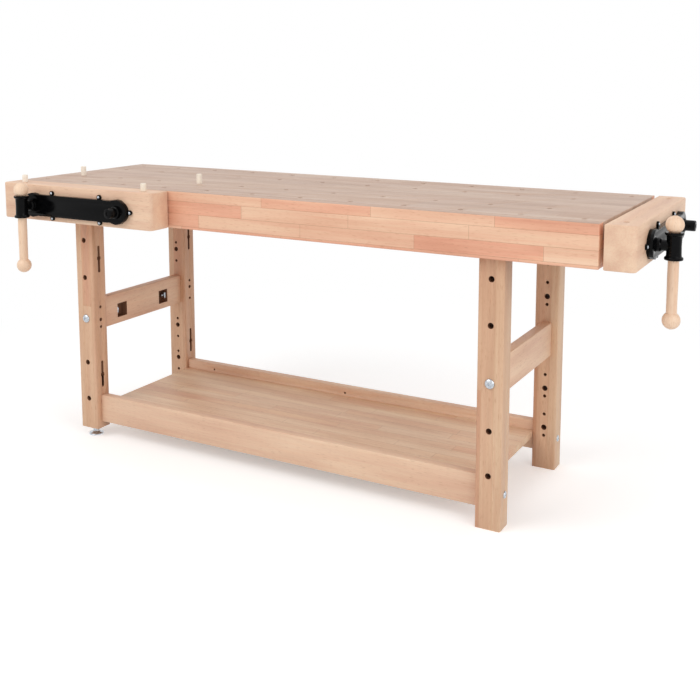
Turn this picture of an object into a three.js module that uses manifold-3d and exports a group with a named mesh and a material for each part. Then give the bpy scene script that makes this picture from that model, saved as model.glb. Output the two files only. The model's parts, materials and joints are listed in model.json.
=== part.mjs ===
// A woodworking bench: a glued beech top on a bolted beech stand with a shelf, a twin-screw front vise and a
// twin-screw end vise. Millimetres, +Z up. X runs along the bench from the left end of its top, Y runs from
// the top's front face to the back, and Z starts at the floor. The exported group is centred over its
// footprint.

import * as THREE from "three";
import { mergeVertices } from "three/addons/utils/BufferGeometryUtils.js";
import Module from "manifold-3d";

const wasm = await Module();
wasm.setup();

// Gap left between two pieces that are fitted, seated or turned together
const FIT = 0.3;

// How far a cutting tool runs past the face that it cuts
const OVERCUT = 1;

// Bench top
const TOP_LENGTH = 1958;
const TOP_DEPTH = 613;
const TOP_HEIGHT = 870;
const APRON_HEIGHT = 115;
const APRON_THICK = 36.7;
const SLAB_THICK = 45;
const EASED_EDGE = 2;

// Dog holes: two outer rows and two inner rows, staggered along the length
const DOG_PITCH = 168;
const DOG_END_MARGIN = 40;
const OUTER_ROW_INSET = 60;
const OUTER_ROW_START = 56;
const INNER_ROW_INSET = 196;
const INNER_ROW_START = 90;

// Bench dogs: a stem in the hole and a wider head above it
const DOG_STEM_R = 7.5;
const DOG_HEAD_R = 9;
const TOP_DOG_HEAD = 32;
const JAW_DOG_HEAD = 24;
const DOG_STEM_LENGTH = 42;
const DOG_CHAMFER = 1.5;
const DOGGED_COLUMNS = [0, 3];

// Legs
const LEG_WIDTH = 73;
const LEG_DEPTH = 59;
const LEG_CHAMFER = 2.5;
const LEFT_OVERHANG = 196;
const RIGHT_OVERHANG = 253;
const LEVELLER_HEIGHT = 30;

// Drilling of the legs, measured from the middle of the pattern. The legs are turned end for end in pairs.
const PATTERN_HEIGHT = 414;
const PATTERN_SHIFT = 9.5;
const PEG_HOLE_R = 8.5;
const PEG_HOLE_SPREADS = [145.5, 271.5];
const PILOT_HOLE_R = 5;
const PILOT_HOLE_DEPTH = 12;
const PILOT_HOLE_SPREADS = [111, 180, 238, 307];
const SLOT_WIDTH = 10;
const SLOT_DEPTH = 20;
const SLOT_NEAR = 152;
const SLOT_FAR = 242;
const KEY_HOLE_R = 9;
const KEY_HOLE_SPREAD = 200;
const SIDE_HOLE_R = 6;
const SIDE_PILOT_SPREAD = 34;

// Side stretchers with their bolt pockets
const STRETCHER_HEIGHT = 105;
const STRETCHER_THICK = 32;
const STRETCHER_BASE = 365;
const STRETCHER_CHAMFER = 2;
const POCKET_SIZE = 48;
const POCKET_FLOOR_GAP = 1;
const POCKET_FROM_LEG = 76;
const STRETCHER_BOLT_HEIGHT = 410;
const STRETCHER_BOLT_R = 5;
const STRETCHER_HEAD_R = 14;
const STRETCHER_HEAD_RISE = 6;
const STRETCHER_NUT_SIZE = 20;
const STRETCHER_NUT_THICK = 10;
const BOLT_END = 8;

// Points of a domed bolt head, as shares of its radius and rise
const DOME_SHARES = [
  [0.94, 0.45],
  [0.7, 0.85],
];

// Bearers under the top
const BEARER_THICK = 32;

// Shelf
const RAIL_THICK = 28;
const RAIL_SETBACK = 19;
const RAIL_BASE = 52;
const RAIL_HEIGHT = 93;
const RAIL_CHAMFER = 2;
const SHELF_THICK = 20;
const SHELF_TOP = 114;
const CLEAT_SIZE = 22;
const CLEAT_INSET = 40;
const RAIL_BOLT_HEIGHT = 95;
const RAIL_BOLT_R = 4;
const RAIL_BOLT_REACH = 60;
const RAIL_HEAD_R = 10;
const RAIL_HEAD_RISE = 4;

// Levelling feet under the left legs
const FOOT_R = 24;
const FOOT_RIM = 5;
const FOOT_EDGE = 1;
const FOOT_CONE_HEIGHT = 12;
const FOOT_NUT_R = 10.5;
const FOOT_STEM_R = 5;
const FOOT_STEM_REACH = 45;

// Vises
const JAW_THICK = 79;
const FRONT_JAW_LENGTH = 624;
const JAW_CORNER_R = 15;
const FRONT_GAP = 4;
const END_GAP = 12.5;
const SCREW_SPACING = 350;
const SCREW_PAIR_SHIFT = 9.5;
const SCREW_DROP = 64;
const SCREW_R = 12.5;
const SCREW_LEAD = 6;
const FRONT_OPENING_TURNS = 30;
const END_OPENING_TURNS = 25;
const SCREW_SPARE = 5;
const SCREW_CHAMFER = 2;
const COLLAR_R = 18;
const COLLAR_THICK = 6;
const COLLAR_RECESS = 8;
const JAW_DOG_INSET = 60;
const JAW_DOG_HOLE_DEPTH = 50;

// Nuts behind the apron
const NUT_PLATE_LENGTH = 96;
const NUT_PLATE_HEIGHT = 36;
const NUT_PLATE_THICK = 8;
const NUT_BOSS_R = 17.5;
const NUT_LENGTH = 43;

// Chain drive between the two screws of a vise
const COVER_RISE = 16;
const COVER_WALL = 3.5;
const COVER_HALF_LENGTH = 217;
const COVER_HEIGHT = 68;
const COVER_BOSS_R = 39;
const LUG_R = 8;
const LUG_THICK = 6;
const LUG_SPREAD = 100;
const LUG_REACH = 6;
const SPROCKET_TEETH = 12;
const SPROCKET_ROOT_R = 20.5;
const SPROCKET_TIP_R = 24.2;
const SPROCKET_THICK = 6;

// One tooth of a sprocket: shares of its pitch, with the radius at each
const TOOTH_POINTS = [
  [0, SPROCKET_ROOT_R],
  [0.3, SPROCKET_ROOT_R],
  [0.5, SPROCKET_TIP_R],
  [0.8, SPROCKET_TIP_R],
];

// Chain and its place on the sprockets
const CHAIN_R = 26.9;
const CHAIN_HEIGHT = 4.2;
const CHAIN_WIDTH = 8;
const CHAIN_STANDOFF = 2.2;

// Hubs on the screws' outer ends
const SPIGOT_R = 9;
const SPIGOT_LENGTH = 28;
const HUB_COLLAR_R = 18;
const HUB_COLLAR_LENGTH = 12;
const HUB_NECK_R = 14.5;
const HUB_TAPER = 2;
const SLEEVE_REACH = 60;
const SLEEVE_R = 19;
const SLEEVE_FLANGE_R = 23.5;
const SLEEVE_FLANGE_THICK = 7;
const SLEEVE_TAPER = 3;
const SLEEVE_HEIGHT = 70;
const STUB_R = 15.3;
const STUB_RING_R = 19;
const STUB_RING_LENGTH = 6;
const STUB_REACH = 50;
const STUB_CHAMFER = 2;

// Handles
const HANDLE_R = 13.5;
const HANDLE_BALL_R = 23;
const HANDLE_LENGTH = 290;
const HANDLE_SPIGOT_R = 8;
const HANDLE_SPIGOT_LENGTH = 22;

// Facets round a circle, by the size of the piece
const FINE = 16;
const PLAIN = 12;
const SMALL = 6;
const DOG_SIDES = 10;
const CORNER_STEPS = 3;
const BALL_STEPS = 5;
const WELD = 1e-4;

// Places worked out from the sizes above
const APRON_BASE = TOP_HEIGHT - APRON_HEIGHT;
const SLAB_BASE = TOP_HEIGHT - SLAB_THICK;
const SLAB_FRONT = APRON_THICK + FIT;
const SLAB_BACK = TOP_DEPTH - APRON_THICK - FIT;
const LEG_TOP = SLAB_BASE - FIT;
const LEFT_LEG = LEFT_OVERHANG;
const RIGHT_LEG = TOP_LENGTH - RIGHT_OVERHANG - LEG_WIDTH;
const FRONT_LEG = APRON_THICK + FIT;
const REAR_LEG = TOP_DEPTH - APRON_THICK - FIT - LEG_DEPTH;
const FRAME_FRONT = FRONT_LEG + LEG_DEPTH + FIT;
const FRAME_BACK = REAR_LEG - FIT;
const SHELF_LEFT = LEFT_LEG + LEG_WIDTH + FIT;
const SHELF_RIGHT = RIGHT_LEG - FIT;
const FRONT_RAIL = FRONT_LEG + RAIL_SETBACK;
const REAR_RAIL = REAR_LEG + LEG_DEPTH - RAIL_SETBACK - RAIL_THICK;
const SCREW_HEIGHT = TOP_HEIGHT - SCREW_DROP;
const POCKET_DEPTH = (STRETCHER_THICK + STRETCHER_NUT_SIZE) / 2 + POCKET_FLOOR_GAP;
const BALL_SEAT = Math.sqrt(HANDLE_BALL_R ** 2 - HANDLE_R ** 2);
const BALL_SPAN = HANDLE_LENGTH - 2 * HANDLE_BALL_R;
const FRONT_OUT = FRONT_GAP + JAW_THICK + SLEEVE_REACH + SLEEVE_FLANGE_R;
const END_OUT = END_GAP + JAW_THICK + SLEEVE_REACH + SLEEVE_FLANGE_R;

// Finishes
const FINISHES = {
  top: { color: 0xd9a578, roughness: 0.5, metalness: 0 },
  frame: { color: 0xe6c39a, roughness: 0.55, metalness: 0 },
  dowel: { color: 0xf0dfc2, roughness: 0.6, metalness: 0 },
  enamel: { color: 0x0c0c0e, roughness: 0.25, metalness: 0.1 },
  zinc: { color: 0xb9bdc2, roughness: 0.35, metalness: 1 },
  steel: { color: 0x6b6e72, roughness: 0.4, metalness: 1 },
};
const materials = Object.fromEntries(
  Object.entries(FINISHES).map(([name, look]) => [name, new THREE.MeshStandardMaterial(look)]),
);

// Directions in which a drawn outline is pushed out: its two drawing axes, then the axis of the push
const X = new THREE.Vector3(1, 0, 0);
const Y = new THREE.Vector3(0, 1, 0);
const Z = new THREE.Vector3(0, 0, 1);
const BASES = {
  x: new THREE.Matrix4().makeBasis(Y, Z, X),
  y: new THREE.Matrix4().makeBasis(Z, X, Y),
  z: new THREE.Matrix4().makeBasis(X, Y, Z),
};

// A closed geometry as a solid that can be joined and cut
function solidOf(geometry) {
  const loose = geometry.index ? geometry.toNonIndexed() : geometry;
  const bare = new THREE.BufferGeometry();
  bare.setAttribute("position", loose.getAttribute("position"));
  const merged = mergeVertices(bare, WELD);
  const corners = merged.index.array;
  const triangles = [];
  for (let i = 0; i < corners.length; i += 3) {
    const [a, b, c] = [corners[i], corners[i + 1], corners[i + 2]];
    if (a !== b && b !== c && c !== a) triangles.push(a, b, c);
  }
  return new wasm.Manifold(
    new wasm.Mesh({
      numProp: 3,
      vertProperties: merged.attributes.position.array,
      triVerts: new Uint32Array(triangles),
    }),
  );
}

// A solid as a geometry with flat faces
function geometryOf(solid) {
  const { vertProperties, triVerts } = solid.getMesh();
  const geometry = new THREE.BufferGeometry();
  geometry.setAttribute("position", new THREE.BufferAttribute(new Float32Array(vertProperties), 3));
  geometry.setIndex(new THREE.BufferAttribute(new Uint32Array(triVerts), 1));
  const flat = geometry.toNonIndexed();
  flat.computeVertexNormals();
  return flat;
}

// Corner radius of a faceted bore whose flats clear a round piece of the given radius
function boreR(radius, sides) {
  return (radius + FIT) / Math.cos(Math.PI / sides);
}

// A round hole along an axis that clears a round piece of the given radius
function bore(axis, radius, from, to, middle, sides = PLAIN) {
  return rod(axis, boreR(radius, sides), from, to, middle, sides);
}

function cut(geometry, tools) {
  return tools.reduce((left, tool) => left.subtract(solidOf(tool)), solidOf(geometry));
}

function join(geometries) {
  return geometries.map(solidOf).reduce((whole, next) => whole.add(next));
}

// An outline pushed out along an axis. It is drawn in (y, z) for x, in (z, x) for y and in (x, y) for z.
function prism(axis, outline, from, to) {
  const options = { depth: to - from, bevelEnabled: false, curveSegments: CORNER_STEPS };
  return new THREE.ExtrudeGeometry(outline, options).translate(0, 0, from).applyMatrix4(BASES[axis]);
}

// A rectangle with its corners cut off at 45 degrees
function chamferedOutline(u0, u1, v0, v1, chamfer) {
  return new THREE.Shape([
    new THREE.Vector2(u0 + chamfer, v0),
    new THREE.Vector2(u1 - chamfer, v0),
    new THREE.Vector2(u1, v0 + chamfer),
    new THREE.Vector2(u1, v1 - chamfer),
    new THREE.Vector2(u1 - chamfer, v1),
    new THREE.Vector2(u0 + chamfer, v1),
    new THREE.Vector2(u0, v1 - chamfer),
    new THREE.Vector2(u0, v0 + chamfer),
  ]);
}

// A straight bar of wood with its long edges eased, between two corners
function bar(axis, [x0, y0, z0], [x1, y1, z1], chamfer) {
  const outlines = {
    x: () => prism("x", chamferedOutline(y0, y1, z0, z1, chamfer), x0, x1),
    y: () => prism("y", chamferedOutline(z0, z1, x0, x1, chamfer), y0, y1),
    z: () => prism("z", chamferedOutline(x0, x1, y0, y1, chamfer), z0, z1),
  };
  return outlines[axis]();
}

function block([x0, y0, z0], [x1, y1, z1]) {
  const geometry = new THREE.BoxGeometry(x1 - x0, y1 - y0, z1 - z0);
  return geometry.translate((x0 + x1) / 2, (y0 + y1) / 2, (z0 + z1) / 2);
}

// A round bar along an axis; across gives its two other coordinates, in the order x, y, z
function rod(axis, radius, from, to, [a, b], sides) {
  const geometry = new THREE.CylinderGeometry(radius, radius, to - from, sides);
  const middle = (from + to) / 2;
  if (axis === "x") return geometry.rotateZ(-Math.PI / 2).translate(middle, a, b);
  if (axis === "y") return geometry.translate(a, middle, b);
  return geometry.rotateX(Math.PI / 2).translate(a, b, middle);
}

// A turned shape standing on Z from a list of (radius, height), from the bottom up
function turned(profile, sides) {
  const points = profile.map(([radius, height]) => new THREE.Vector2(radius, height));
  return new THREE.LatheGeometry(points, sides).rotateX(Math.PI / 2);
}

// A turned shape whose height runs out of the bench, towards -Y
function turnedOut(profile, sides) {
  return turned(profile, sides).rotateX(Math.PI / 2);
}

// A turned shape whose height runs along X, towards +X or -X
function turnedAlongX(profile, sides, direction) {
  return turned(profile, sides).rotateY((direction * Math.PI) / 2);
}

function add(group, name, finish, shape) {
  const geometry = shape.isBufferGeometry ? geometryOf(solidOf(shape)) : geometryOf(shape);
  const mesh = new THREE.Mesh(geometry, materials[finish]);
  mesh.name = name;
  group.add(mesh);
  return mesh;
}

// Dog holes of the top, as (x, y) places: columns at a steady pitch in each row
function dogColumns(start) {
  const count = Math.floor((TOP_LENGTH - DOG_END_MARGIN - start) / DOG_PITCH) + 1;
  return Array.from({ length: count }, (_, column) => start + column * DOG_PITCH);
}

const dogRows = [
  { depth: OUTER_ROW_INSET, start: OUTER_ROW_START },
  { depth: INNER_ROW_INSET, start: INNER_ROW_START },
  { depth: TOP_DEPTH - INNER_ROW_INSET, start: INNER_ROW_START },
  { depth: TOP_DEPTH - OUTER_ROW_INSET, start: OUTER_ROW_START },
];

// A hole for a bench dog, drilled from the top's surface down to the given height
function dogHole(x, y, bottom) {
  return bore("z", DOG_STEM_R, bottom, TOP_HEIGHT + OVERCUT, [x, y], DOG_SIDES);
}

// A bench dog with its head's underside on the surface at the given height
function dog(x, y, surface, headHeight) {
  const seat = surface + FIT;
  const profile = [
    [0, surface - DOG_STEM_LENGTH],
    [DOG_STEM_R - DOG_CHAMFER, surface - DOG_STEM_LENGTH],
    [DOG_STEM_R, surface - DOG_STEM_LENGTH + DOG_CHAMFER],
    [DOG_STEM_R, seat],
    [DOG_HEAD_R, seat],
    [DOG_HEAD_R, surface + headHeight - DOG_CHAMFER],
    [DOG_HEAD_R - DOG_CHAMFER, surface + headHeight],
    [0, surface + headHeight],
  ];
  return turned(profile, DOG_SIDES).translate(x, y, 0);
}

// The two places along a vise where its screws pass
function screwPlaces(jawLength) {
  const middle = jawLength / 2 + SCREW_PAIR_SHIFT;
  return [middle - SCREW_SPACING / 2, middle + SCREW_SPACING / 2];
}

function buildTop(bench) {
  const holes = dogRows.flatMap(({ depth, start }) =>
    dogColumns(start).map((x) => dogHole(x, depth, SLAB_BASE - OVERCUT)),
  );
  const slab = block([0, SLAB_FRONT, SLAB_BASE], [TOP_LENGTH, SLAB_BACK, TOP_HEIGHT]);
  add(bench, "top_slab", "top", cut(slab, holes));

  const frontBores = screwPlaces(FRONT_JAW_LENGTH).map((x) =>
    bore("y", SCREW_R, -OVERCUT, APRON_THICK + OVERCUT, [x, SCREW_HEIGHT]),
  );
  const frontApron = bar("x", [0, 0, APRON_BASE], [TOP_LENGTH, APRON_THICK, TOP_HEIGHT], EASED_EDGE);
  add(bench, "front_apron", "top", cut(frontApron, frontBores));

  const rearApron = bar(
    "x",
    [0, TOP_DEPTH - APRON_THICK, APRON_BASE],
    [TOP_LENGTH, TOP_DEPTH, TOP_HEIGHT],
    EASED_EDGE,
  );
  add(bench, "rear_apron", "top", rearApron);

  const endTop = SLAB_BASE - FIT;
  add(bench, "left_end_apron", "top", block([0, SLAB_FRONT, APRON_BASE], [APRON_THICK, SLAB_BACK, endTop]));
  const endBores = screwPlaces(TOP_DEPTH).map((y) =>
    bore("x", SCREW_R, TOP_LENGTH - APRON_THICK - OVERCUT, TOP_LENGTH + OVERCUT, [y, SCREW_HEIGHT]),
  );
  const rightApron = block(
    [TOP_LENGTH - APRON_THICK, SLAB_FRONT, APRON_BASE],
    [TOP_LENGTH, SLAB_BACK, endTop],
  );
  add(bench, "right_end_apron", "top", cut(rightApron, endBores));

  const innerColumns = dogColumns(INNER_ROW_START);
  DOGGED_COLUMNS.forEach((column, i) => {
    const topDog = dog(innerColumns[column], INNER_ROW_INSET, TOP_HEIGHT, TOP_DOG_HEAD);
    add(bench, `top_dog_${i + 1}`, "dowel", topDog);
  });
}

// Holes and slots of one leg. inward is the X direction of the bench's middle, turn is +1 or -1 for the two
// ways up, and the leg's box starts at (x, y).
function legCuts(x, y, inward, turn, behind) {
  const middleX = x + LEG_WIDTH / 2;
  const middleY = y + LEG_DEPTH / 2;
  const innerX = inward > 0 ? x + LEG_WIDTH : x;
  const innerY = behind ? y : y + LEG_DEPTH;
  const intoY = behind ? 1 : -1;
  const cuts = [];
  const alongY = (radius, height, depth) => {
    const ends = [innerY - intoY, innerY + intoY * depth].sort((a, b) => a - b);
    cuts.push(rod("y", radius, ends[0], ends[1], [middleX, height], SMALL));
  };
  const alongX = (radius, height, depth) => {
    const ends = [innerX + inward, innerX - inward * depth].sort((a, b) => a - b);
    cuts.push(rod("x", radius, ends[0], ends[1], [middleY, height], SMALL));
  };
  const shift = PATTERN_HEIGHT + turn * PATTERN_SHIFT;
  for (const side of [-1, 1]) {
    for (const spread of PEG_HOLE_SPREADS) alongY(PEG_HOLE_R, shift + side * spread, LEG_DEPTH + OVERCUT);
    for (const spread of PILOT_HOLE_SPREADS) {
      alongY(PILOT_HOLE_R, PATTERN_HEIGHT + side * spread, PILOT_HOLE_DEPTH);
    }
    const ends = [PATTERN_HEIGHT + side * SLOT_NEAR, PATTERN_HEIGHT + side * SLOT_FAR];
    const heights = ends.sort((a, b) => a - b);
    const reach = [innerX + inward, innerX - inward * SLOT_DEPTH].sort((a, b) => a - b);
    const half = SLOT_WIDTH / 2;
    cuts.push(
      prism("x", chamferedOutline(middleY - half, middleY + half, ...heights, half / 2), ...reach),
    );
    alongX(KEY_HOLE_R, PATTERN_HEIGHT + side * KEY_HOLE_SPREAD, SLOT_DEPTH);
    alongX(PILOT_HOLE_R, PATTERN_HEIGHT + side * SIDE_PILOT_SPREAD, PILOT_HOLE_DEPTH);
  }
  alongX(SIDE_HOLE_R, PATTERN_HEIGHT + turn * PATTERN_SHIFT, PILOT_HOLE_DEPTH);
  const boltR = boreR(STRETCHER_BOLT_R, PLAIN);
  cuts.push(rod("y", boltR, y - OVERCUT, y + LEG_DEPTH + OVERCUT, [middleX, STRETCHER_BOLT_HEIGHT], PLAIN));
  const railY = (behind ? REAR_RAIL : FRONT_RAIL) + RAIL_THICK / 2;
  cuts.push(bore("x", RAIL_BOLT_R, x - OVERCUT, x + LEG_WIDTH + OVERCUT, [railY, RAIL_BOLT_HEIGHT]));
  return cuts;
}

function levellingFoot(x, y) {
  const profile = [
    [0, 0],
    [FOOT_R - FOOT_EDGE, 0],
    [FOOT_R, FOOT_EDGE],
    [FOOT_R, FOOT_RIM],
    [FOOT_NUT_R, FOOT_CONE_HEIGHT],
    [FOOT_NUT_R, LEVELLER_HEIGHT - FIT],
    [FOOT_STEM_R, LEVELLER_HEIGHT - FIT],
    [FOOT_STEM_R, LEVELLER_HEIGHT + FOOT_STEM_REACH],
    [0, LEVELLER_HEIGHT + FOOT_STEM_REACH],
  ];
  return turned(profile, PLAIN).translate(x, y, 0);
}

// A bolt with a domed head, standing on Z: the head's seat is at 0 and the shaft runs down to -reach
function domedBolt(shaftR, headR, rise, reach) {
  return [
    [0, -reach],
    [shaftR, -reach],
    [shaftR, FIT],
    [headR, FIT],
    ...DOME_SHARES.map(([radiusShare, riseShare]) => [headR * radiusShare, rise * riseShare]),
    [0, rise],
  ];
}

const corners = [
  { side: "left", end: "front", x: LEFT_LEG, y: FRONT_LEG, inward: 1, turn: -1, behind: false },
  { side: "left", end: "rear", x: LEFT_LEG, y: REAR_LEG, inward: 1, turn: 1, behind: true },
  { side: "right", end: "front", x: RIGHT_LEG, y: FRONT_LEG, inward: -1, turn: 1, behind: false },
  { side: "right", end: "rear", x: RIGHT_LEG, y: REAR_LEG, inward: -1, turn: -1, behind: true },
];

function buildLegs(bench) {
  for (const { side, end, x, y, inward, turn, behind } of corners) {
    const levelled = side === "left";
    const base = levelled ? LEVELLER_HEIGHT : 0;
    const middle = [x + LEG_WIDTH / 2, y + LEG_DEPTH / 2];
    const leg = bar("z", [x, y, base], [x + LEG_WIDTH, y + LEG_DEPTH, LEG_TOP], LEG_CHAMFER);
    const cuts = legCuts(x, y, inward, turn, behind);
    if (levelled) {
      cuts.push(bore("z", FOOT_STEM_R, base - OVERCUT, base + FOOT_STEM_REACH + OVERCUT, middle));
      add(bench, `${side}_${end}_levelling_foot`, "zinc", levellingFoot(...middle));
    }
    add(bench, `${side}_${end}_leg`, "frame", cut(leg, cuts));

    // The stretcher bolt goes in from the leg's outer face and ends in its nut, inside the pocket
    const out = behind ? 1 : -1;
    const face = behind ? y + LEG_DEPTH : y;
    const nutNear = LEG_DEPTH + FIT + POCKET_FROM_LEG + FIT;
    const bolt = turnedOut(
      domedBolt(
        STRETCHER_BOLT_R,
        STRETCHER_HEAD_R,
        STRETCHER_HEAD_RISE,
        nutNear + STRETCHER_NUT_THICK + BOLT_END,
      ),
      PLAIN,
    );
    if (behind) bolt.rotateZ(Math.PI);
    bolt.translate(middle[0], face, STRETCHER_BOLT_HEIGHT);
    add(bench, `${side}_${end}_stretcher_bolt`, "zinc", bolt);
    const nutFaces = [face - out * nutNear, face - out * (nutNear + STRETCHER_NUT_THICK)];
    const nutEnds = nutFaces.sort((a, b) => a - b);
    const half = STRETCHER_NUT_SIZE / 2;
    const nut = block(
      [middle[0] - half, nutEnds[0], STRETCHER_BOLT_HEIGHT - half],
      [middle[0] + half, nutEnds[1], STRETCHER_BOLT_HEIGHT + half],
    );
    const thread = rod(
      "y",
      boreR(STRETCHER_BOLT_R, PLAIN),
      nutEnds[0] - OVERCUT,
      nutEnds[1] + OVERCUT,
      [middle[0], STRETCHER_BOLT_HEIGHT],
      PLAIN,
    );
    add(bench, `${side}_${end}_stretcher_nut`, "zinc", cut(nut, [thread]));

    // The rail bolt goes in from the leg's outer side into the end of the rail
    const railY = (behind ? REAR_RAIL : FRONT_RAIL) + RAIL_THICK / 2;
    const outerX = inward > 0 ? x : x + LEG_WIDTH;
    const profile = domedBolt(RAIL_BOLT_R, RAIL_HEAD_R, RAIL_HEAD_RISE, LEG_WIDTH + FIT + RAIL_BOLT_REACH);
    const railBolt = turnedAlongX(profile, PLAIN, -inward).translate(outerX, railY, RAIL_BOLT_HEIGHT);
    add(bench, `${side}_${end}_rail_bolt`, "zinc", railBolt);
  }
}

function buildStand(bench) {
  for (const { side, x, inward } of corners.filter(({ behind }) => !behind)) {
    const middleX = x + LEG_WIDTH / 2;
    const near = middleX - STRETCHER_THICK / 2;
    const far = middleX + STRETCHER_THICK / 2;
    const stretcher = bar(
      "y",
      [near, FRAME_FRONT, STRETCHER_BASE],
      [far, FRAME_BACK, STRETCHER_BASE + STRETCHER_HEIGHT],
      STRETCHER_CHAMFER,
    );
    const innerFace = inward > 0 ? far : near;
    const pocketX = [innerFace + inward, innerFace - inward * POCKET_DEPTH].sort((a, b) => a - b);
    const low = STRETCHER_BOLT_HEIGHT - POCKET_SIZE / 2;
    const starts = [FRAME_FRONT + POCKET_FROM_LEG, FRAME_BACK - POCKET_FROM_LEG - POCKET_SIZE];
    const cuts = starts.map((start) =>
      block([pocketX[0], start, low], [pocketX[1], start + POCKET_SIZE, low + POCKET_SIZE]),
    );
    const boltR = boreR(STRETCHER_BOLT_R, PLAIN);
    const boltPlace = [middleX, STRETCHER_BOLT_HEIGHT];
    const boreEnd = POCKET_FROM_LEG + POCKET_SIZE / 2;
    cuts.push(rod("y", boltR, FRAME_FRONT - OVERCUT, FRAME_FRONT + boreEnd, boltPlace, PLAIN));
    cuts.push(rod("y", boltR, FRAME_BACK - boreEnd, FRAME_BACK + OVERCUT, boltPlace, PLAIN));
    add(bench, `${side}_stretcher`, "frame", cut(stretcher, cuts));

    const bearerNear = middleX - BEARER_THICK / 2;
    const bearer = bar(
      "y",
      [bearerNear, FRAME_FRONT, APRON_BASE],
      [bearerNear + BEARER_THICK, FRAME_BACK, LEG_TOP],
      STRETCHER_CHAMFER,
    );
    add(bench, `${side}_top_bearer`, "frame", bearer);
  }
}

function buildShelf(bench) {
  const railTop = RAIL_BASE + RAIL_HEIGHT;
  const boltBores = (y) =>
    [
      [SHELF_LEFT - OVERCUT, SHELF_LEFT + RAIL_BOLT_REACH + OVERCUT],
      [SHELF_RIGHT - RAIL_BOLT_REACH - OVERCUT, SHELF_RIGHT + OVERCUT],
    ].map(([from, to]) => bore("x", RAIL_BOLT_R, from, to, [y + RAIL_THICK / 2, RAIL_BOLT_HEIGHT]));
  for (const [name, y] of [
    ["front_shelf_rail", FRONT_RAIL],
    ["rear_shelf_rail", REAR_RAIL],
  ]) {
    const rail = bar("x", [SHELF_LEFT, y, RAIL_BASE], [SHELF_RIGHT, y + RAIL_THICK, railTop], RAIL_CHAMFER);
    add(bench, name, "frame", cut(rail, boltBores(y)));
  }
  const panelFront = FRONT_RAIL + RAIL_THICK + FIT;
  const panelBack = REAR_RAIL - FIT;
  const panelBase = SHELF_TOP - SHELF_THICK;
  const panel = block([SHELF_LEFT, panelFront, panelBase], [SHELF_RIGHT, panelBack, SHELF_TOP]);
  add(bench, "shelf_panel", "top", panel);
  const cleatTop = panelBase - FIT;
  for (const [name, y] of [
    ["front_shelf_cleat", panelFront],
    ["rear_shelf_cleat", panelBack - CLEAT_SIZE],
  ]) {
    const cleat = block(
      [SHELF_LEFT + CLEAT_INSET, y, cleatTop - CLEAT_SIZE],
      [SHELF_RIGHT - CLEAT_INSET, y + CLEAT_SIZE, cleatTop],
    );
    add(bench, name, "frame", cleat);
  }
}

// Two half rounds joined by straight sides, drawn in (z, x) about a middle; the long way is x
function stadium(middleZ, middleX, halfSpan, radius) {
  const outline = new THREE.Shape();
  outline.absarc(middleZ, middleX + halfSpan, radius, 0, Math.PI, false);
  outline.absarc(middleZ, middleX - halfSpan, radius, Math.PI, 2 * Math.PI, false);
  outline.closePath();
  return outline;
}

// A flat shape of the chain drive between two places out from the jaw's face; -Y is outwards
function outPlate(outline, face, near, far) {
  const options = { depth: far - near, bevelEnabled: false, curveSegments: PLAIN / 2 };
  const plate = new THREE.ExtrudeGeometry(outline, options);
  return plate.translate(0, 0, face - far).applyMatrix4(BASES.y);
}

function sprocketOutline(z, x) {
  const points = [];
  for (let tooth = 0; tooth < SPROCKET_TEETH; tooth += 1) {
    const pitch = (2 * Math.PI) / SPROCKET_TEETH;
    for (const [share, radius] of TOOTH_POINTS) {
      const angle = (tooth + share) * pitch;
      points.push(new THREE.Vector2(z + radius * Math.cos(angle), x + radius * Math.sin(angle)));
    }
  }
  return new THREE.Shape(points);
}

// One vise, drawn as the front vise: x along its jaw, the bench's face at y = 0 and the jaw in front of it
function buildVise(name, jawLength, gap, openingTurns) {
  const vise = new THREE.Group();
  const innerFace = -gap;
  const outerFace = -gap - JAW_THICK;
  const [driveX, idlerX] = screwPlaces(jawLength);
  const middleX = (driveX + idlerX) / 2;
  const travel = openingTurns * SCREW_LEAD;

  buildJaw(vise, name, jawLength, innerFace, outerFace, [driveX, idlerX]);
  buildChainDrive(vise, name, middleX, outerFace, [driveX, idlerX]);

  const nutNear = APRON_THICK + FIT;
  const nutFar = nutNear + NUT_LENGTH;
  const screwEnd = nutFar + travel + SCREW_SPARE;
  for (const [role, x] of [
    ["drive", driveX],
    ["idler", idlerX],
  ]) {
    add(vise, `${name}_${role}_screw`, "steel", screw(x, innerFace, outerFace, screwEnd));
    add(vise, `${name}_${role}_nut`, "steel", screwNut(x, nutNear, nutFar));
  }
  add(vise, `${name}_tee_hub`, "enamel", teeHub(driveX, outerFace));
  add(vise, `${name}_stub_hub`, "enamel", stubHub(idlerX, outerFace));
  buildHandle(vise, name, driveX, outerFace - SLEEVE_REACH);
  return vise;
}

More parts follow.
